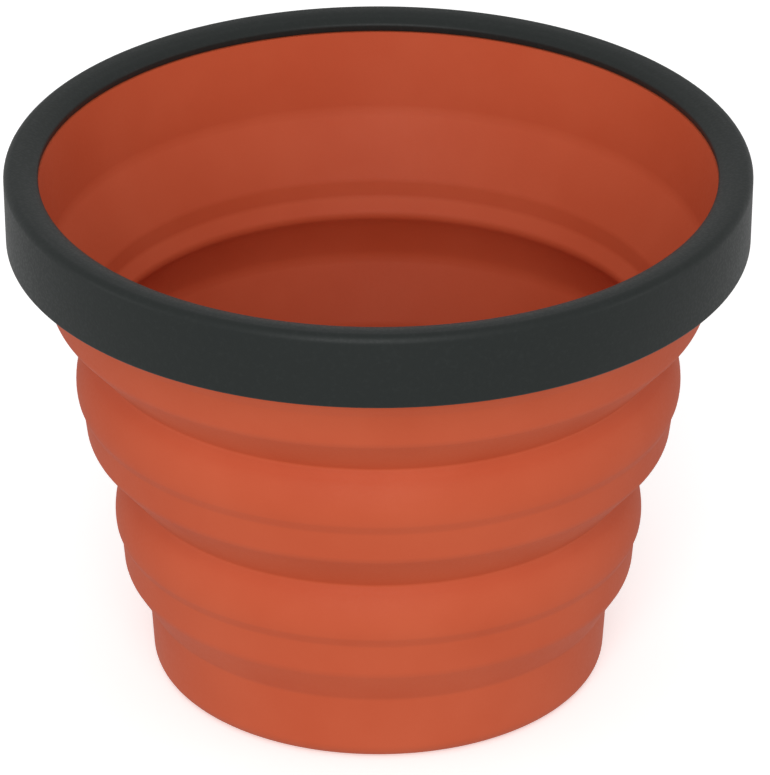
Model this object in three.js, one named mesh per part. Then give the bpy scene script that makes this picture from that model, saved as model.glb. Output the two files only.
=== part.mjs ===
// A collapsible travel cup: a stiff rim ring that grips one soft silicone moulding, which folds flat.
// The moulding is modelled tier by tier, because each tier travels by itself when the cup folds.
// Millimetres, +Z up, axis of the cup on Z, origin at the centre of the underside.

import * as THREE from "three";

// ---------------------------------------------------------------- driving dimensions

const FACETS = 48; // flat facets round every turned shape
const SEAT_GAP = 0.3; // gap between pieces that meet face to face
const SLIDE_CLEARANCE = 0.6; // radial room between a tier and the tier that folds up inside it

// Rim ring, stiff nylon.
const RIM_OUTER_R = 46.6; // outside radius at the top
const RIM_DRAFT = 0.2; // how much narrower the lower edge is
const RIM_HEIGHT = 9.8;
const RIM_WALL = 2.6; // outer wall, from the bore out
const RIM_LIP_THICKNESS = 2.0; // flange that covers the edge of the silicone
const RIM_LIP_DRAFT = 0.8; // how far the flange leans in towards the drink
const RIM_CROWN_WIDTH = 1.4; // part of the top that falls towards the drink, inside the flat land
const RIM_CROWN_DROP = 0.4; // how far it falls
const RIM_OUTER_EDGE_R = 1.1; // rounding of the top outer edge
const RIM_INNER_EDGE_R = 0.5; // rounding of the top inner edge
const RIM_LOWER_EDGE_R = 0.4; // rounding of the lower outer edge

// Anchor bead, moulded round the outside of the silicone and held in a groove of the ring.
const BEAD_PROUD = 0.7;
const BEAD_HEIGHT = 3.0;
const BEAD_DEPTH = 3.9; // from the top of the ring down to the top of the bead
const BEAD_SLOPE = 0.5; // height of each slanted flank

// Silicone moulding.
const WALL = 1.5; // wall of the upright bands
const UPPER_FLARE = 1.2; // how much wider the upper tier is at the ring than at its crease
const UPPER_CREASE_BELOW_RING = 2.8;
const SKIRT_DROP = 1.5; // how far a tier's stiff part reaches below its crease

// Each fold runs from the crease at the foot of a tier, down a tucked lip to the low edge,
// then steps in to the neck of the tier below. Radial and vertical sizes of those two stretches:
const FOLDS = {
  upper: { lipTuck: 1.5, lipDrop: 5.3, stepIn: 5.3, stepDrop: 5.9 },
  middle: { lipTuck: 1.0, lipDrop: 4.8, stepIn: 5.3, stepDrop: 6.2 },
  lower: { lipTuck: 0.9, lipDrop: 5.1, stepIn: 3.1, stepDrop: 5.0 },
};
// Upright bands of the middle and lower tiers, from the neck down to the crease.
// The inside bows less than the outside, so the wall is thickest halfway down.
const INNER_BOW_SHARE = 0.4;
const BANDS = {
  middle: { flare: 2.0, height: 7.6, bow: 1.1 },
  lower: { flare: 1.7, height: 7.4, bow: 0.9 },
};

// Inside of a neck: a ledge above it, a thin hinge line over the ledge, and an edge below.
const LEDGE_IN = 0.8; // ledge outside the neck's own radius
const LEDGE_RISE = 3.4; // ledge above the neck
const HINGE_IN = 0.35;
const HINGE_RISE = 1.25;
const NECK_WALL = 1.2;
const NECK_EDGE_DROP = 0.8;

// Base cup.
const BASE_HEIGHT = 9.2; // from the table to the neck
const BASE_TAPER = 0.6; // how much narrower the foot is than the neck
const BASE_EDGE_R = 2.2; // rounding where the wall meets the foot
const BASE_INNER_EDGE_R = 1.6;
const FLOOR = 1.8; // thickness of the floor
const FOOT_WIDTH = 5.0; // flat standing ring, from the rounded edge inwards
const FOOT_RECESS = 0.6; // the underside is hollowed inside the standing ring

const ARC_STEPS = 4; // facets along a rounded edge
const BOW_STEPS = 4; // facets along a bowed wall

// ---------------------------------------------------------------- profile helpers
// A profile is a list of (radius, height) points, counter-clockwise round the section.

const at = (r, z) => new THREE.Vector2(r, z);

/** The point at height z on the line through two points. */
function onLine(a, b, z) {
  return a.clone().lerp(b, (z - a.y) / (b.y - a.y));
}

/** The point at height z on a line of points that runs downwards. */
function onOutline(points, z) {
  const next = Math.max(1, points.findIndex((p) => p.y <= z));
  return onLine(points[next - 1], points[next], z);
}

/** The height on the line through two points where its radius is r. */
function heightAtRadius(a, b, r) {
  return a.y + ((r - a.x) / (b.x - a.x)) * (b.y - a.y);
}

/** Points from a to b along a wall that bows outwards by the given rise; both ends are included. */
function bowed(a, b, rise) {
  return Array.from({ length: BOW_STEPS + 1 }, (_, i) => {
    const t = i / BOW_STEPS;
    return a.clone().lerp(b, t).add(at(4 * rise * t * (1 - t), 0));
  });
}

/** An arc that rounds a corner between two neighbours. */
function rounded(before, corner, after, radius) {
  const back = before.clone().sub(corner).normalize();
  const ahead = after.clone().sub(corner).normalize();
  const half = Math.acos(back.dot(ahead)) / 2;
  const centre = back.clone().add(ahead).normalize().multiplyScalar(radius / Math.sin(half)).add(corner);
  const setBack = radius / Math.tan(half);
  const start = back.clone().multiplyScalar(setBack).add(corner).sub(centre).angle();
  const end = ahead.clone().multiplyScalar(setBack).add(corner).sub(centre).angle();
  const turn = Math.atan2(Math.sin(end - start), Math.cos(end - start));
  return Array.from({ length: ARC_STEPS + 1 }, (_, i) => {
    const angle = start + (turn * i) / ARC_STEPS;
    return at(Math.cos(angle), Math.sin(angle)).multiplyScalar(radius).add(centre);
  });
}

/** The turned solid of a profile, about the Z axis. */
function turned(profile) {
  return new THREE.LatheGeometry(profile, FACETS).rotateX(Math.PI / 2);
}

/** The turned solid of a profile that closes on itself, clear of the axis. */
const turnedRing = (profile) => turned([...profile, profile[0].clone()]);

// ---------------------------------------------------------------- section of the cup
// Worked out from the rim inwards and from the table upwards.

const rimBoreR = RIM_OUTER_R - RIM_WALL;
const upperTopR = rimBoreR - SEAT_GAP; // outside of the silicone where it meets the flange

/** Heights of every crease, low edge and neck, stacked up from the table. */
function stackHeights() {
  const neckBase = BASE_HEIGHT;
  const lowLower = neckBase + FOLDS.lower.stepDrop;
  const creaseLower = lowLower + FOLDS.lower.lipDrop;
  const neckLower = creaseLower + BANDS.lower.height;
  const lowMiddle = neckLower + FOLDS.middle.stepDrop;
  const creaseMiddle = lowMiddle + FOLDS.middle.lipDrop;
  const neckMiddle = creaseMiddle + BANDS.middle.height;
  const lowUpper = neckMiddle + FOLDS.upper.stepDrop;
  const creaseUpper = lowUpper + FOLDS.upper.lipDrop;
  const rimBottom = creaseUpper + UPPER_CREASE_BELOW_RING;
  return {
    neckBase, lowLower, creaseLower, neckLower, lowMiddle, creaseMiddle, neckMiddle, lowUpper, creaseUpper,
    rimBottom,
    rimTop: rimBottom + RIM_HEIGHT,
  };
}
const Z = stackHeights();

/**
 * The outside and inside points of one fold, with the cuts that part its stiff ends from the soft roll.
 * The stiff skirt stays with the tier above. The stiff shoulder belongs to the tier below, and is kept
 * narrower than both the skirt and the neck of the tier above (throatR), so it can travel up past them.
 */
function foldSection(size, creaseR, creaseZ, throatR) {
  const crease = at(creaseR, creaseZ);
  const low = at(creaseR - size.lipTuck, creaseZ - size.lipDrop);
  const neck = at(low.x - size.stepIn, low.y - size.stepDrop);
  const creaseInside = at(crease.x - WALL, crease.y);
  const ledge = at(neck.x + LEDGE_IN, neck.y + LEDGE_RISE);
  const hinge = at(neck.x + HINGE_IN, neck.y + HINGE_RISE);
  const neckInside = at(neck.x - NECK_WALL, neck.y - NECK_EDGE_DROP);
  const skirtZ = crease.y - SKIRT_DROP;
  const skirt = onLine(crease, low, skirtZ);
  const inside = [creaseInside, ledge, hinge, neckInside];
  const skirtInside = onOutline(inside, skirtZ);
  const shoulderR = Math.min(skirtInside.x, throatR) - SLIDE_CLEARANCE;
  const shoulder = onLine(low, neck, heightAtRadius(low, neck, shoulderR));
  return { crease, low, neck, inside, creaseInside, neckInside, skirt, skirtInside, shoulder };
}

const upperFold = foldSection(FOLDS.upper, upperTopR - UPPER_FLARE, Z.creaseUpper, Infinity);
const middleFold = foldSection(
  FOLDS.middle, upperFold.neck.x + BANDS.middle.flare, Z.creaseMiddle, upperFold.neckInside.x,
);
const lowerFold = foldSection(
  FOLDS.lower, middleFold.neck.x + BANDS.lower.flare, Z.creaseLower, middleFold.neckInside.x,
);

// Straight outer wall of the upper tier, inside the ring.
const upperTop = at(upperTopR, Z.rimTop - RIM_LIP_THICKNESS - SEAT_GAP);
const upperWallAt = (z) => onLine(upperFold.crease, upperTop, z).x;
const beadTopZ = Z.rimTop - BEAD_DEPTH;
const beadBottomZ = beadTopZ - BEAD_HEIGHT;

// ---------------------------------------------------------------- pieces

/** Rim ring: outer wall, flange over the silicone's edge, and a bore with a groove for the bead. */
function rimRing() {
  const lowerOuter = at(RIM_OUTER_R - RIM_DRAFT, Z.rimBottom);
  const upperOuter = at(RIM_OUTER_R, Z.rimTop);
  const lipLower = at(upperTopR - WALL, Z.rimTop - RIM_LIP_THICKNESS);
  const lipUpper = at(lipLower.x + RIM_LIP_DRAFT, Z.rimTop - RIM_CROWN_DROP);
  const landInner = at(lipUpper.x + RIM_CROWN_WIDTH, Z.rimTop);
  const boreAt = (z) => at(upperWallAt(z) + SEAT_GAP, z);
  const grooveAt = (z) => at(boreAt(z).x + BEAD_PROUD, z);
  const lowerInner = boreAt(Z.rimBottom);
  const grooveTop = beadTopZ + SEAT_GAP;
  const grooveBottom = beadBottomZ - SEAT_GAP;
  return turnedRing([
    ...rounded(lowerInner, lowerOuter, upperOuter, RIM_LOWER_EDGE_R),
    ...rounded(lowerOuter, upperOuter, landInner, RIM_OUTER_EDGE_R),
    landInner,
    ...rounded(landInner, lipUpper, lipLower, RIM_INNER_EDGE_R),
    lipLower,
    boreAt(lipLower.y),
    boreAt(grooveTop),
    grooveAt(grooveTop - BEAD_SLOPE),
    grooveAt(grooveBottom + BEAD_SLOPE),
    boreAt(grooveBottom),
    lowerInner,
  ]);
}

/** Upper tier: the wall inside the ring with its anchor bead, down to the stiff skirt of the upper fold. */
function upperTier() {
  const beadAt = (z) => at(upperWallAt(z) + BEAD_PROUD, z);
  const wallAt = (z) => at(upperWallAt(z), z);
  return turnedRing([
    upperFold.skirt,
    upperFold.crease,
    wallAt(beadBottomZ),
    beadAt(beadBottomZ + BEAD_SLOPE),
    beadAt(beadTopZ - BEAD_SLOPE),
    wallAt(beadTopZ),
    upperTop,
    at(upperTop.x - WALL, upperTop.y),
    upperFold.creaseInside,
    upperFold.skirtInside,
  ]);
}

/** Inside outline of a tier's top, from the shoulder's height down to just above the neck's edge. */
function shoulderInside(fold) {
  const top = onOutline(fold.inside, fold.shoulder.y);
  return [top, ...fold.inside.filter((p) => p.y < top.y && p !== fold.neckInside)];
}

/** Middle or lower tier: shoulder, neck, bowed band and the stiff skirt of the next fold. */
function bandTier(above, below, band) {
  return turnedRing([
    below.skirt,
    ...bowed(below.crease, above.neck, band.bow),
    above.shoulder,
    ...shoulderInside(above),
    ...bowed(above.neckInside, below.creaseInside, band.bow * INNER_BOW_SHARE),
    below.skirtInside,
  ]);
}

/** Soft roll between the skirt above and the shoulder below, which turns over when the cup folds. */
function foldRoll(fold) {
  const topZ = fold.skirt.y - SEAT_GAP;
  const bottomZ = fold.shoulder.y + SEAT_GAP;
  return turnedRing([
    onLine(fold.low, fold.neck, bottomZ),
    fold.low,
    onLine(fold.crease, fold.low, topZ),
    onOutline(fold.inside, topZ),
    ...fold.inside.filter((p) => p.y < topZ && p.y > bottomZ),
    onOutline(fold.inside, bottomZ),
  ]);
}

/** Base cup: floor with a hollowed underside and a flat standing ring, wall, neck and shoulder. */
function baseCup() {
  const { neck, shoulder, neckInside } = lowerFold;
  const footR = neck.x - BASE_TAPER;
  const foot = at(footR, 0);
  const standingInnerR = footR - BASE_EDGE_R - FOOT_WIDTH;
  const floorTop = at(0, FOOT_RECESS + FLOOR);
  const floorCorner = at(footR - WALL, floorTop.y);
  return turned([
    at(0, FOOT_RECESS),
    at(standingInnerR - FOOT_RECESS, FOOT_RECESS),
    at(standingInnerR, 0),
    ...rounded(at(0, 0), foot, neck, BASE_EDGE_R),
    neck,
    shoulder,
    ...shoulderInside(lowerFold),
    neckInside,
    ...rounded(neckInside, floorCorner, floorTop, BASE_INNER_EDGE_R),
    floorTop,
  ]);
}

// ---------------------------------------------------------------- assembly

const NYLON = { color: 0x34393a, roughness: 0.55, metalness: 0 };
const SILICONE = { color: 0xc85a3c, roughness: 0.62, metalness: 0 };

const cup = new THREE.Group();

/** Adds one named piece with its own material. */
function add(name, geometry, finish) {
  const mesh = new THREE.Mesh(geometry, new THREE.MeshStandardMaterial(finish));
  mesh.name = name;
  cup.add(mesh);
}

add("rim_ring", rimRing(), NYLON);
add("upper_tier", upperTier(), SILICONE);
add("upper_fold_roll", foldRoll(upperFold), SILICONE);
add("middle_tier", bandTier(upperFold, middleFold, BANDS.middle), SILICONE);
add("middle_fold_roll", foldRoll(middleFold), SILICONE);
add("lower_tier", bandTier(middleFold, lowerFold, BANDS.lower), SILICONE);
add("lower_fold_roll", foldRoll(lowerFold), SILICONE);
add("base_cup", baseCup(), SILICONE);

export default cup;
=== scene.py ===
"""A folding travel cup: a stiff moulded rim ring on one soft silicone body that folds flat, tier inside tier.

Sizes are in millimetres until a mesh is finished, and in metres after that. The silicone is turned as the one
moulding that it is. It is then parted at its creases and necks, so that each tier rides on its own body, and
each fold between two tiers is a piece of its own.
"""

import logging
import math
from dataclasses import dataclass, field
from enum import Enum

import bmesh
import bpy
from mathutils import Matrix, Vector


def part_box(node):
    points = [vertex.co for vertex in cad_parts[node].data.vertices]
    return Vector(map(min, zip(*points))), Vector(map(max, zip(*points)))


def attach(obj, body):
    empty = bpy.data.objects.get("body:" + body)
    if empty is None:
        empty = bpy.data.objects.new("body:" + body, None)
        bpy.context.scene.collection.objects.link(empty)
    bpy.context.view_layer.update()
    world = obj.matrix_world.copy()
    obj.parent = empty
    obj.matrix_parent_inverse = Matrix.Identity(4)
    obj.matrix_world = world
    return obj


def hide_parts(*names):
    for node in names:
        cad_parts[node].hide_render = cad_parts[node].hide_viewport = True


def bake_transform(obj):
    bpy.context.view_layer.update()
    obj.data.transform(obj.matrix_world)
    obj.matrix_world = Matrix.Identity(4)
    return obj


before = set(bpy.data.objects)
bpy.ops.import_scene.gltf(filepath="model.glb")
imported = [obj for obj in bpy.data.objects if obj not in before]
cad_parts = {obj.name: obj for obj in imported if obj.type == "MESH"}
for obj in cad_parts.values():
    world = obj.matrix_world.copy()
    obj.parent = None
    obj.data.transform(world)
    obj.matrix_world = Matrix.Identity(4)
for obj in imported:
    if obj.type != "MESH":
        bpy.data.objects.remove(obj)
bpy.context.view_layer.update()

log = logging.getLogger("cup")

MM = 0.001
ROUND_STEPS = 192  # faces round a turned shape
MERGE = 0.0005  # corners closer than this, in millimetres, are one
SHARP_ANGLE = math.radians(28.0)  # edges that turn more than this shade as edges

# Facets along a rounding, from the tightest to the widest.
TIGHT_STEPS = 3
SMALL_STEPS = 4
EDGE_STEPS = 6
SOFT_STEPS = 8
BROAD_STEPS = 10
BOW_STEPS = 16


class Body(Enum):
    """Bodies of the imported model, from the table upwards."""

    BASE = "base"
    LOWER = "lower"
    MIDDLE = "middle"
    UPPER = "upper"


class Slot(Enum):
    """Material slots of the record."""

    RING = "rim_nylon"
    CUP = "cup_silicone"


# ---------------------------------------------------------------- finishes


def linear(colour: str) -> tuple[float, float, float, float]:
    """Turn an sRGB hex colour into the linear colour that shaders use.

    Args:
        colour: six hex digits after a hash.

    Returns:
        Red, green, blue and a full alpha.
    """
    parts = [int(colour[i : i + 2], 16) / 255.0 for i in (1, 3, 5)]
    r, g, b = (c / 12.92 if c <= 0.04045 else ((c + 0.055) / 1.055) ** 2.4 for c in parts)
    return r, g, b, 1.0


def per_metre(size_mm: float) -> float:
    """Scale of a texture whose features are this many millimetres across."""
    return 1.0 / (size_mm * MM)


def add_node(
    tree: bpy.types.NodeTree, kind: str, inputs: dict[str | int, object] | None = None, **settings: object
) -> bpy.types.Node:
    """Add one node with its settings and links.

    Args:
        tree: the node tree that gets it.
        kind: Blender's name for the node type.
        inputs: what each input takes, either a value or the output socket that feeds it.
        settings: the node's own properties.

    Returns:
        The new node.
    """
    node = tree.nodes.new(kind)
    for name, value in settings.items():
        setattr(node, name, value)
    for name, value in (inputs or {}).items():
        if isinstance(value, bpy.types.NodeSocket):
            tree.links.new(value, node.inputs[name])
        else:
            node.inputs[name].default_value = value
    return node


def new_material(name: str) -> tuple[bpy.types.Material, bpy.types.NodeTree]:
    """Make an empty node material.

    Args:
        name: the material's name.

    Returns:
        The material and its cleared node tree.
    """
    material = bpy.data.materials.new(name)
    material.use_nodes = True
    material.node_tree.nodes.clear()
    return material, material.node_tree


@dataclass(frozen=True)
class MouldedSilicone:
    """Pigmented silicone rubber, compression moulded in a fine-blasted steel mould.

    It gives the eye a warm terracotta with a dry, powdery skin: no sharp reflection, a faint cloudiness where
    the pigment spreads unevenly, and a fine grain copied from the mould.
    """

    name: str = "moulded_silicone_terracotta"
    colour: str = "#C35838"
    deep_colour: str = "#BE5232"
    cloud_mm: float = 14.0
    grain_mm: float = 0.45  # blasting leaves 0.05 mm pits, too fine to show, so they are drawn coarser
    grain_depth_mm: float = 0.012
    roughness: float = 0.6
    roughness_swing: float = 0.08
    ior: float = 1.41
    specular_level: float = 0.25

    def material(self) -> bpy.types.Material:
        """Build the material."""
        material, tree = new_material(self.name)
        place = add_node(tree, "ShaderNodeTexCoord").outputs["Object"]
        cloud = add_node(
            tree, "ShaderNodeTexNoise",
            {"Vector": place, "Scale": per_metre(self.cloud_mm), "Detail": 3.0, "Roughness": 0.55},
        ).outputs["Fac"]
        grain = add_node(
            tree, "ShaderNodeTexNoise",
            {"Vector": place, "Scale": per_metre(self.grain_mm), "Detail": 2.0, "Roughness": 0.5},
        ).outputs["Fac"]
        spread = add_node(
            tree, "ShaderNodeMapRange",
            {"Value": cloud, "From Min": 0.3, "From Max": 0.7, "To Min": 0.0, "To Max": 1.0},
        ).outputs["Result"]
        colour = add_node(
            tree, "ShaderNodeMix",
            {"Factor": spread, "A": linear(self.deep_colour), "B": linear(self.colour)},
            data_type="RGBA",
        )
        skin = add_node(
            tree, "ShaderNodeMapRange",
            {
                "Value": grain,
                "From Min": 0.3,
                "From Max": 0.7,
                "To Min": self.roughness - self.roughness_swing / 2,
                "To Max": self.roughness + self.roughness_swing / 2,
            },
        ).outputs["Result"]
        bump = add_node(
            tree, "ShaderNodeBump", {"Height": grain, "Strength": 1.0, "Distance": self.grain_depth_mm * MM}
        )
        surface = add_node(
            tree, "ShaderNodeBsdfPrincipled",
            {
                "Base Color": colour.outputs["Result"],
                "Roughness": skin,
                "IOR": self.ior,
                "Specular IOR Level": self.specular_level,
                "Normal": bump.outputs["Normal"],
            },
        )
        add_node(tree, "ShaderNodeOutputMaterial", {"Surface": surface.outputs["BSDF"]})
        return material


@dataclass(frozen=True)
class SparkErodedNylon:
    """Glass-filled nylon, injection moulded in a spark-eroded mould.

    It gives the eye a charcoal that is nearly black in shade, a satin skin with a tight pebble grain, and
    faint lighter flecks where glass fibre lies close under the surface.
    """

    name: str = "injection_moulded_glass_filled_nylon_charcoal"
    colour: str = "#222625"
    fleck_colour: str = "#272B2A"
    fleck_mm: float = 0.7
    grain_mm: float = 0.4  # the eroded pebbles are about 0.1 mm, too fine to show, so they are drawn coarser
    grain_depth_mm: float = 0.008
    roughness: float = 0.44
    roughness_swing: float = 0.1
    ior: float = 1.53
    specular_level: float = 0.18

    def material(self) -> bpy.types.Material:
        """Build the material."""
        material, tree = new_material(self.name)
        place = add_node(tree, "ShaderNodeTexCoord").outputs["Object"]
        flecks = add_node(
            tree, "ShaderNodeTexNoise",
            {"Vector": place, "Scale": per_metre(self.fleck_mm), "Detail": 4.0, "Roughness": 0.7},
        ).outputs["Fac"]
        pebbles = add_node(
            tree, "ShaderNodeTexVoronoi",
            {"Vector": place, "Scale": per_metre(self.grain_mm), "Smoothness": 0.6},
            feature="SMOOTH_F1",
        ).outputs["Distance"]
        share = add_node(
            tree, "ShaderNodeMapRange",
            {"Value": flecks, "From Min": 0.52, "From Max": 0.72, "To Min": 0.0, "To Max": 1.0},
        ).outputs["Result"]
        colour = add_node(
            tree, "ShaderNodeMix",
            {"Factor": share, "A": linear(self.colour), "B": linear(self.fleck_colour)},
            data_type="RGBA",
        )
        skin = add_node(
            tree, "ShaderNodeMapRange",
            {
                "Value": pebbles,
                "From Min": 0.1,
                "From Max": 0.6,
                "To Min": self.roughness - self.roughness_swing / 2,
                "To Max": self.roughness + self.roughness_swing / 2,
            },
        ).outputs["Result"]
        bump = add_node(
            tree, "ShaderNodeBump",
            {"Height": pebbles, "Strength": 1.0, "Distance": self.grain_depth_mm * MM},
            invert=True,
        )
        surface = add_node(
            tree, "ShaderNodeBsdfPrincipled",
            {
                "Base Color": colour.outputs["Result"],
                "Roughness": skin,
                "IOR": self.ior,
                "Specular IOR Level": self.specular_level,
                "Normal": bump.outputs["Normal"],
            },
        )
        add_node(tree, "ShaderNodeOutputMaterial", {"Surface": surface.outputs["BSDF"]})
        return material


@dataclass(frozen=True)
class LitFloor:
    """Opal acrylic sheet, cast smooth and lit from beneath.

    It gives the eye an even, nearly white ground with a soft skin and no reflection.
    """

    name: str = "backlit_opal_acrylic"
    colour: str = "#FCFCFC"
    roughness: float = 0.95
    specular_level: float = 0.1
    glow: float = 0.4

    def material(self) -> bpy.types.Material:
        """Build the material."""
        material, tree = new_material(self.name)
        surface = add_node(
            tree, "ShaderNodeBsdfPrincipled",
            {
                "Base Color": linear(self.colour),
                "Roughness": self.roughness,
                "Specular IOR Level": self.specular_level,
                "Emission Color": linear(self.colour),
                "Emission Strength": self.glow,
            },
        )
        add_node(tree, "ShaderNodeOutputMaterial", {"Surface": surface.outputs["BSDF"]})
        return material


# ---------------------------------------------------------------- turned shapes


@dataclass(frozen=True)
class Corner:
    """One corner of a section, in millimetres, with how far back along its sides its rounding starts."""

    r: float
    z: float
    ease: float = 0.0
    steps: int = EDGE_STEPS

    def eased(self, ease: float, steps: int = EDGE_STEPS) -> "Corner":
        """The same corner with its rounding set."""
        return Corner(self.r, self.z, ease, steps)

    def moved(self, r: float, z: float) -> "Corner":
        """A sharp corner at this distance from this one."""
        return Corner(self.r + r, self.z + z)

    def towards(self, other: "Corner", distance: float) -> "Corner":
        """A sharp corner this far along the line to another."""
        share = distance / math.hypot(other.r - self.r, other.z - self.z)
        return Corner(self.r + (other.r - self.r) * share, self.z + (other.z - self.z) * share)

    def at_height(self, other: "Corner", z: float) -> "Corner":
        """The corner at height z on the line through this one and another."""
        share = (z - self.z) / (other.z - self.z)
        return Corner(self.r + (other.r - self.r) * share, z)


def turned(section: list[Corner], closed: bool) -> bmesh.types.BMesh:
    """Turn a section about the cup's axis.

    Args:
        section: its corners in order, rounded where they have an ease.
        closed: whether the last corner joins the first; if not, both ends lie on the axis.

    Returns:
        The closed solid, in millimetres, with its faces outwards.
    """
    bm = bmesh.new()
    verts = [bm.verts.new((corner.r, 0.0, corner.z)) for corner in section]
    for first, second in zip(verts, verts[1:] + (verts[:1] if closed else [])):
        bm.edges.new((first, second))
    for vert, corner in zip(verts, section):
        if corner.ease > 0.0:
            bmesh.ops.bevel(
                bm, geom=[vert], offset=corner.ease, offset_type="OFFSET", segments=corner.steps, profile=0.5,
                affect="VERTICES", material=-1,
            )
    bmesh.ops.spin(
        bm, geom=bm.verts[:] + bm.edges[:], cent=(0.0, 0.0, 0.0), axis=(0.0, 0.0, 1.0), angle=math.tau,
        steps=ROUND_STEPS, use_merge=True, use_duplicate=False,
    )
    bmesh.ops.remove_doubles(bm, verts=bm.verts[:], dist=MERGE)
    bmesh.ops.recalc_face_normals(bm, faces=bm.faces[:])
    return bm


def sliced(whole: bmesh.types.BMesh, top: float | None, bottom: float | None) -> bmesh.types.BMesh:
    """Cut a level slice out of a turned solid and close its cut ends.

    Args:
        whole: the solid, which stays as it is.
        top: height of the upper cut, or None to keep everything above.
        bottom: height of the lower cut, or None to keep everything below.

    Returns:
        The closed slice.
    """
    bm = whole.copy()
    for height, is_top in ((top, True), (bottom, False)):
        if height is None:
            continue
        cut = bmesh.ops.bisect_plane(
            bm, geom=bm.verts[:] + bm.edges[:] + bm.faces[:], dist=MERGE, plane_co=(0.0, 0.0, height),
            plane_no=(0.0, 0.0, 1.0), clear_outer=is_top, clear_inner=not is_top,
        )
        rings = [item for item in cut["geom_cut"] if isinstance(item, bmesh.types.BMEdge)]
        bmesh.ops.bridge_loops(bm, edges=rings)
    bmesh.ops.recalc_face_normals(bm, faces=bm.faces[:])
    return bm


def finished(bm: bmesh.types.BMesh, name: str) -> bpy.types.Object:
    """Turn a shape in millimetres into a smooth-shaded object in metres, and free the shape.

    Args:
        bm: the shape.
        name: the object's name.

    Returns:
        The object, at the origin.
    """
    for face in bm.faces:
        face.smooth = True
    for edge in bm.edges:
        edge.smooth = edge.calc_face_angle(0.0) < SHARP_ANGLE
    bmesh.ops.scale(bm, vec=(MM, MM, MM), verts=bm.verts[:])
    mesh = bpy.data.meshes.new(name)
    bm.to_mesh(mesh)
    bm.free()
    piece = bpy.data.objects.new(name, mesh)
    bpy.context.scene.collection.objects.link(piece)
    return piece


def dressed(piece: bpy.types.Object, material: bpy.types.Material, slot: Slot, *nodes: str) -> None:
    """Give a piece its finish, and say which CAD nodes it stands for.

    Args:
        piece: the piece.
        material: its material.
        slot: the record's slot for it; not used.
        nodes: the CAD nodes that it replaces.
    """
    piece.data.materials.append(material)
    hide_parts(*nodes)
    log.info("%s: %d faces, in place of %s", piece.name, len(piece.data.polygons), ", ".join(nodes))


# ---------------------------------------------------------------- the silicone body


@dataclass(frozen=True)
class Fold:
    """A soft cone between two tiers: down a tucked lip to the low edge, then a step in to the neck below."""

    lip_tuck: float
    lip_drop: float
    step_in: float
    step_drop: float

    @property
    def drop(self) -> float:
        """Height from the crease down to the neck."""
        return self.lip_drop + self.step_drop


@dataclass(frozen=True)
class Band:
    """An upright band of a tier, from its neck down to its crease, bowed outwards."""

    flare: float
    height: float
    bow: float


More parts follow.
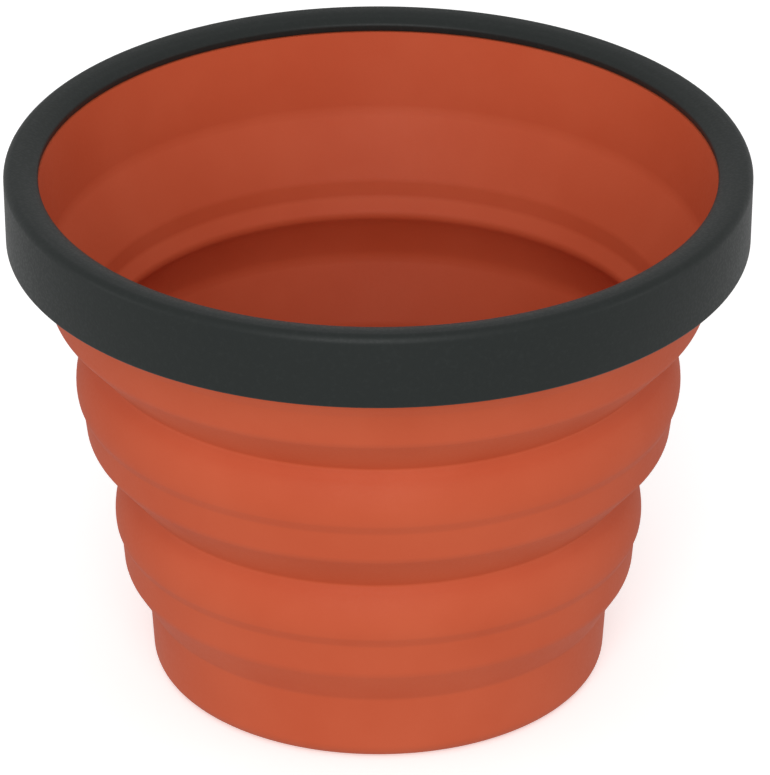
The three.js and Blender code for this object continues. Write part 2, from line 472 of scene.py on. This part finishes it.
@dataclass
class SiliconeBody:
    """The soft moulding: base cup, three folds, two bands and the wall that the rim ring holds."""

    rim_top: float
    mouth_outer_r: float = 43.7
    wall: float = 1.5
    flange: float = 2.0  # thickness of the ring's flange, which the silicone reaches up to
    flange_gap: float = 0.3  # the wall's nominal top lies this far under the flange
    flange_seat: float = 0.02  # the wall runs on up to here
    upper_flare: float = 1.2
    bead_proud: float = 0.7
    bead_depth: float = 3.9
    bead_height: float = 3.0
    bead_slope: float = 0.5
    base_height: float = 9.2
    base_taper: float = 0.6
    base_edge_ease: float = 2.2
    base_inner_ease: float = 1.6
    foot_edge_ease: float = 0.15
    recess_ease: float = 0.2
    floor: float = 1.8
    foot_width: float = 5.0
    foot_recess: float = 0.6
    ledge_in: float = 0.8
    ledge_rise: float = 3.4
    ledge_ease: float = 0.35
    hinge_in: float = 0.35
    hinge_rise: float = 1.25
    hinge_ease: float = 0.3
    neck_wall: float = 1.2
    neck_edge_drop: float = 0.8
    inner_neck_ease: float = 0.7
    crease_height: float = 1.3  # narrow facet round the outside at each crease, where the wall hinges
    crease_in: float = 0.62  # how far it steps in, down to the lip
    facet_upper_ease: float = 0.15
    facet_lower_ease: float = 0.2
    inner_crease_ease: float = 0.8
    low_edge_ease: float = 0.6
    inner_bow_share: float = 0.4  # the inside bows less than the outside
    neck_ease: float = 0.35
    bow_lift: float = 1.72  # how far a bow's guide corner stands out, as a multiple of the bow
    bow_ease: float = 0.82  # share of a bow's shorter side that its rounding takes
    upper_fold: Fold = Fold(1.5, 5.3, 5.3, 5.9)
    middle_fold: Fold = Fold(1.0, 4.8, 5.3, 6.2)
    lower_fold: Fold = Fold(0.9, 5.1, 3.1, 5.0)
    middle_band: Band = Band(2.0, 7.6, 1.1)
    lower_band: Band = Band(1.7, 7.4, 0.9)
    necks: list[Corner] = field(default_factory=list, init=False)
    creases: list[Corner] = field(default_factory=list, init=False)

    def __post_init__(self) -> None:
        """Work out every crease and neck, from the upper fold down."""
        folds = (self.upper_fold, self.middle_fold, self.lower_fold)
        bands = (self.middle_band, self.lower_band)
        height = self.base_height + sum(f.drop for f in folds) + sum(b.height for b in bands)
        crease = Corner(self.mouth_outer_r - self.upper_flare, height)
        for fold, band in zip(folds, (*bands, None)):
            neck = crease.moved(-fold.lip_tuck - fold.step_in, -fold.drop)
            self.creases.append(crease)
            self.necks.append(neck)
            if band:
                crease = neck.moved(band.flare, -band.height)

    @property
    def wall_top(self) -> Corner:
        """Outer top corner of the wall, just under the ring's flange."""
        under_flange = self.rim_top - self.flange
        nominal = Corner(self.mouth_outer_r, under_flange - self.flange_gap)
        return self.creases[0].at_height(nominal, under_flange - self.flange_seat)

    def wall_at(self, z: float) -> Corner:
        """Outer corner of the upper wall at a height."""
        return self.creases[0].at_height(self.wall_top, z)

    def _crease_facet(self, crease: Corner, above: Corner) -> list[Corner]:
        """The narrow facet at a crease, between the wall above it and the lip below."""
        half = self.crease_height / 2
        upper = crease.towards(above, half)
        lower = Corner(upper.r - self.crease_in, crease.z - half)
        return [
            upper.eased(self.facet_upper_ease, TIGHT_STEPS),
            lower.eased(self.facet_lower_ease, TIGHT_STEPS),
        ]

    def _guide(self, top: Corner, bottom: Corner, bow: float) -> Corner:
        """The guide corner that a bowed wall is rounded from."""
        guide = Corner((top.r + bottom.r) / 2 + self.bow_lift * bow, (top.z + bottom.z) / 2)
        shorter = min(math.hypot(guide.r - end.r, guide.z - end.z) for end in (top, bottom))
        return guide.eased(self.bow_ease * shorter, BOW_STEPS)

    def _outside(self) -> list[Corner]:
        """Corners of the outer surface, from under the flange down to the middle of the underside."""
        bead_top = self.rim_top - self.bead_depth
        bead_bottom = bead_top - self.bead_height
        corners = [
            self.wall_top,
            self.wall_at(bead_top),
            self.wall_at(bead_top - self.bead_slope).moved(self.bead_proud, 0.0),
            self.wall_at(bead_bottom + self.bead_slope).moved(self.bead_proud, 0.0),
            self.wall_at(bead_bottom),
        ]
        above = self.wall_at(bead_bottom)
        folds = (self.upper_fold, self.middle_fold, self.lower_fold)
        bands = (self.middle_band, self.lower_band)
        for crease, neck, fold, band in zip(self.creases, self.necks, folds, (*bands, None)):
            low = crease.moved(-fold.lip_tuck, -fold.lip_drop)
            corners += self._crease_facet(crease, above)
            corners += [low.eased(self.low_edge_ease, SOFT_STEPS), neck.eased(self.neck_ease, SMALL_STEPS)]
            if band:
                above = self._guide(neck, neck.moved(band.flare, -band.height), band.bow)
                corners.append(above)
        foot = Corner(self.necks[-1].r - self.base_taper, 0.0)
        standing_inner = foot.moved(-self.base_edge_ease - self.foot_width, 0.0)
        recess_edge = standing_inner.moved(-self.foot_recess, self.foot_recess)
        return corners + [
            foot.eased(self.base_edge_ease, BROAD_STEPS),
            standing_inner.eased(self.foot_edge_ease, TIGHT_STEPS),
            recess_edge.eased(self.recess_ease, TIGHT_STEPS),
            Corner(0.0, self.foot_recess),
        ]

    def _inside(self) -> list[Corner]:
        """Corners of the inner surface, from the middle of the floor up to the mouth."""
        floor_z = self.foot_recess + self.floor
        corner_r = self.necks[-1].r - self.base_taper - self.wall
        corners = [Corner(0.0, floor_z), Corner(corner_r, floor_z, self.base_inner_ease, SOFT_STEPS)]
        bands = (self.middle_band, self.lower_band, None)
        for crease, neck, band in reversed(list(zip(self.creases, self.necks, bands))):
            inner_neck = neck.moved(-self.neck_wall, -self.neck_edge_drop)
            if band:
                inner_crease = neck.moved(band.flare - self.wall, -band.height)
                corners.append(self._guide(inner_neck, inner_crease, band.bow * self.inner_bow_share))
            corners += [
                inner_neck.eased(self.inner_neck_ease, SOFT_STEPS),
                neck.moved(self.hinge_in, self.hinge_rise).eased(self.hinge_ease),
                neck.moved(self.ledge_in, self.ledge_rise).eased(self.ledge_ease),
                crease.moved(-self.wall, 0.0).eased(self.inner_crease_ease, SOFT_STEPS),
            ]
        return corners + [self.wall_top.moved(-self.wall, 0.0)]

    def moulding(self) -> bmesh.types.BMesh:
        """The whole silicone body, as it leaves its mould."""
        return turned(self._inside() + self._outside(), closed=False)

    def build(self, silicone: bpy.types.Material) -> None:
        """Part the moulding into tiers that ride on their bodies and folds between them, and dress them.

        Args:
            silicone: the material of the whole body.
        """
        whole = self.moulding()
        bodies = (Body.UPPER, Body.MIDDLE, Body.LOWER, Body.BASE)
        tiers = ("upper", "middle", "lower", "base")
        cuts = [None] + [corner.z for pair in zip(self.creases, self.necks) for corner in pair] + [None]
        for index, (tier, body) in enumerate(zip(tiers, bodies)):
            name = "cup_base" if body is Body.BASE else f"{tier}_wall"
            wall = finished(sliced(whole, cuts[2 * index], cuts[2 * index + 1]), name)
            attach(wall, body.value)
            dressed(wall, silicone, Slot.CUP, "base_cup" if body is Body.BASE else f"{tier}_tier")
            if body is Body.BASE:
                break
            crease_z, neck_z = self.creases[index].z, self.necks[index].z
            fold = finished(sliced(whole, crease_z, neck_z), f"{tier}_fold")
            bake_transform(fold)
            dressed(fold, silicone, Slot.CUP, f"{tier}_fold_roll")
        whole.free()


# ---------------------------------------------------------------- the rim ring


@dataclass
class RimRing:
    """The stiff ring round the mouth: outer wall, flange over the silicone, and a bore with a bead groove."""

    body: SiliconeBody
    top: float
    bottom: float
    outer_r: float = 46.6
    draft: float = 0.2
    lip_draft: float = 0.8
    lip_tuck: float = 0.2  # the lip's lower part leans back under its knee
    lip_knee_height: float = 1.05
    crown_width: float = 1.4  # part of the top that falls towards the drink
    crown_drop: float = 0.4
    crown_ease: float = 0.5
    outer_edge_ease: float = 1.1
    inner_edge_ease: float = 0.35
    knee_ease: float = 0.3
    lower_edge_ease: float = 0.4
    lip_edge_ease: float = 0.25
    bore_edge_ease: float = 0.2
    seat_gap: float = 0.04

    def build(self, nylon: bpy.types.Material) -> None:
        """Turn the ring and dress it.

        Args:
            nylon: its material.
        """
        cup = self.body
        lip_lower = Corner(cup.mouth_outer_r - cup.wall, self.top - cup.flange)
        groove_top = self.top - cup.bead_depth + self.seat_gap
        groove_bottom = self.top - cup.bead_depth - cup.bead_height - self.seat_gap
        groove_out = cup.bead_proud + self.seat_gap
        lip_upper = Corner(lip_lower.r + self.lip_draft, self.top - self.crown_drop)
        section = [
            Corner(self.outer_r - self.draft, self.bottom, self.lower_edge_ease),
            Corner(self.outer_r, self.top, self.outer_edge_ease, BROAD_STEPS),
            Corner(lip_upper.r + self.crown_width, self.top, self.crown_ease),
            lip_upper.eased(self.inner_edge_ease, SOFT_STEPS),
            lip_lower.moved(0.0, self.lip_knee_height).eased(self.knee_ease),
            lip_lower.moved(self.lip_tuck, 0.0).eased(self.lip_edge_ease, SMALL_STEPS),
            cup.wall_at(lip_lower.z).moved(self.seat_gap, 0.0),
            cup.wall_at(groove_top).moved(self.seat_gap, 0.0),
            cup.wall_at(groove_top - cup.bead_slope).moved(groove_out, 0.0),
            cup.wall_at(groove_bottom + cup.bead_slope).moved(groove_out, 0.0),
            cup.wall_at(groove_bottom).moved(self.seat_gap, 0.0),
            cup.wall_at(self.bottom).moved(self.seat_gap, 0.0).eased(self.bore_edge_ease, SMALL_STEPS),
        ]
        ring = finished(turned(section, closed=True), "ring_moulding")
        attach(ring, Body.UPPER.value)
        dressed(ring, nylon, Slot.RING, "rim_ring")


# ---------------------------------------------------------------- studio


@dataclass
class Softbox:
    """A square soft light that faces the cup, placed by the compass round it."""

    name: str
    azimuth: float  # degrees, 0 from the front and 90 from the right
    elevation: float
    distance: float
    size: float
    watts: float

    def place(self, target: Vector) -> None:
        """Add the light, turned to the target."""
        data = bpy.data.lights.new(self.name, "AREA")
        data.shape = "SQUARE"
        data.size = self.size
        data.energy = self.watts
        light = bpy.data.objects.new(self.name, data)
        bpy.context.scene.collection.objects.link(light)
        across, up = math.radians(self.azimuth), math.radians(self.elevation)
        away = Vector((math.sin(across) * math.cos(up), -math.cos(across) * math.cos(up), math.sin(up)))
        light.location = target + away * self.distance
        light.rotation_euler = away.to_track_quat("Z", "Y").to_euler()


@dataclass
class Studio:
    """A pale floor, an even sky with four soft lights (front, above and both sides), and the camera."""

    target: Vector = field(default_factory=lambda: Vector((0.83, 0.0, 37.7)) * MM)
    elevation: float = 27.9
    distance: float = 1.065
    lens: float = 393.0
    sensor: float = 36.0
    floor_size: float = 12.0
    floor_drop_mm: float = 0.02  # keeps the floor from lying in the same plane as the foot
    sky_colour: str = "#FFFFFF"
    sky_strength: float = 0.63
    clip_start: float = 0.01
    boxes: tuple[Softbox, ...] = (
        Softbox("key_softbox", -6.0, 20.0, 1.3, 0.7, 6.3),
        Softbox("top_softbox", 0.0, 45.0, 1.3, 0.4, 2.2),
        Softbox("left_fill", -80.0, 4.0, 1.3, 0.5, 1.6),
        Softbox("right_fill", 80.0, 4.0, 1.3, 0.5, 1.6),
    )

    def build(self) -> None:
        """Make the floor, the lights and the camera."""
        self._floor()
        self._sky()
        for box in self.boxes:
            box.place(self.target)
        self._camera()
        bpy.context.scene.view_settings.view_transform = "Standard"

    def _floor(self) -> None:
        """Lay the floor just under the foot of the cup."""
        bm = bmesh.new()
        bmesh.ops.create_grid(bm, x_segments=1, y_segments=1, size=self.floor_size / 2)
        bmesh.ops.translate(bm, verts=bm.verts[:], vec=(0.0, 0.0, -self.floor_drop_mm * MM))
        mesh = bpy.data.meshes.new("floor")
        bm.to_mesh(mesh)
        bm.free()
        floor = bpy.data.objects.new("floor", mesh)
        bpy.context.scene.collection.objects.link(floor)
        floor.data.materials.append(LitFloor().material())
        # The sky lights the cup from below instead, which keeps the undersides of its tiers in soft shade.
        floor.visible_diffuse = False
        floor.visible_glossy = False

    def _sky(self) -> None:
        """Surround the scene with even light."""
        world = bpy.data.worlds.new("studio")
        world.use_nodes = True
        world.node_tree.nodes.clear()
        glow = add_node(
            world.node_tree, "ShaderNodeBackground",
            {"Color": linear(self.sky_colour), "Strength": self.sky_strength},
        )
        add_node(world.node_tree, "ShaderNodeOutputWorld", {"Surface": glow.outputs["Background"]})
        bpy.context.scene.world = world

    def _camera(self) -> None:
        """Stand the camera in front of the cup, looking down at it."""
        data = bpy.data.cameras.new("camera")
        data.sensor_fit = "AUTO"
        data.sensor_width = self.sensor
        data.lens = self.lens
        data.clip_start = self.clip_start
        camera = bpy.data.objects.new("camera", data)
        bpy.context.scene.collection.objects.link(camera)
        up = math.radians(self.elevation)
        away = Vector((0.0, -math.cos(up), math.sin(up)))
        camera.location = self.target + away * self.distance
        camera.rotation_euler = away.to_track_quat("Z", "Y").to_euler()
        bpy.context.scene.camera = camera


def main() -> None:
    """Build the cup and its studio."""
    logging.basicConfig(level=logging.INFO, format="%(message)s")
    low, high = (Vector(corner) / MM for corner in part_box("rim_ring"))
    body = SiliconeBody(rim_top=high.z)
    RimRing(body, top=high.z, bottom=low.z).build(SparkErodedNylon().material())
    body.build(MouldedSilicone().material())
    Studio().build()


if __name__ == "__main__":
    main()
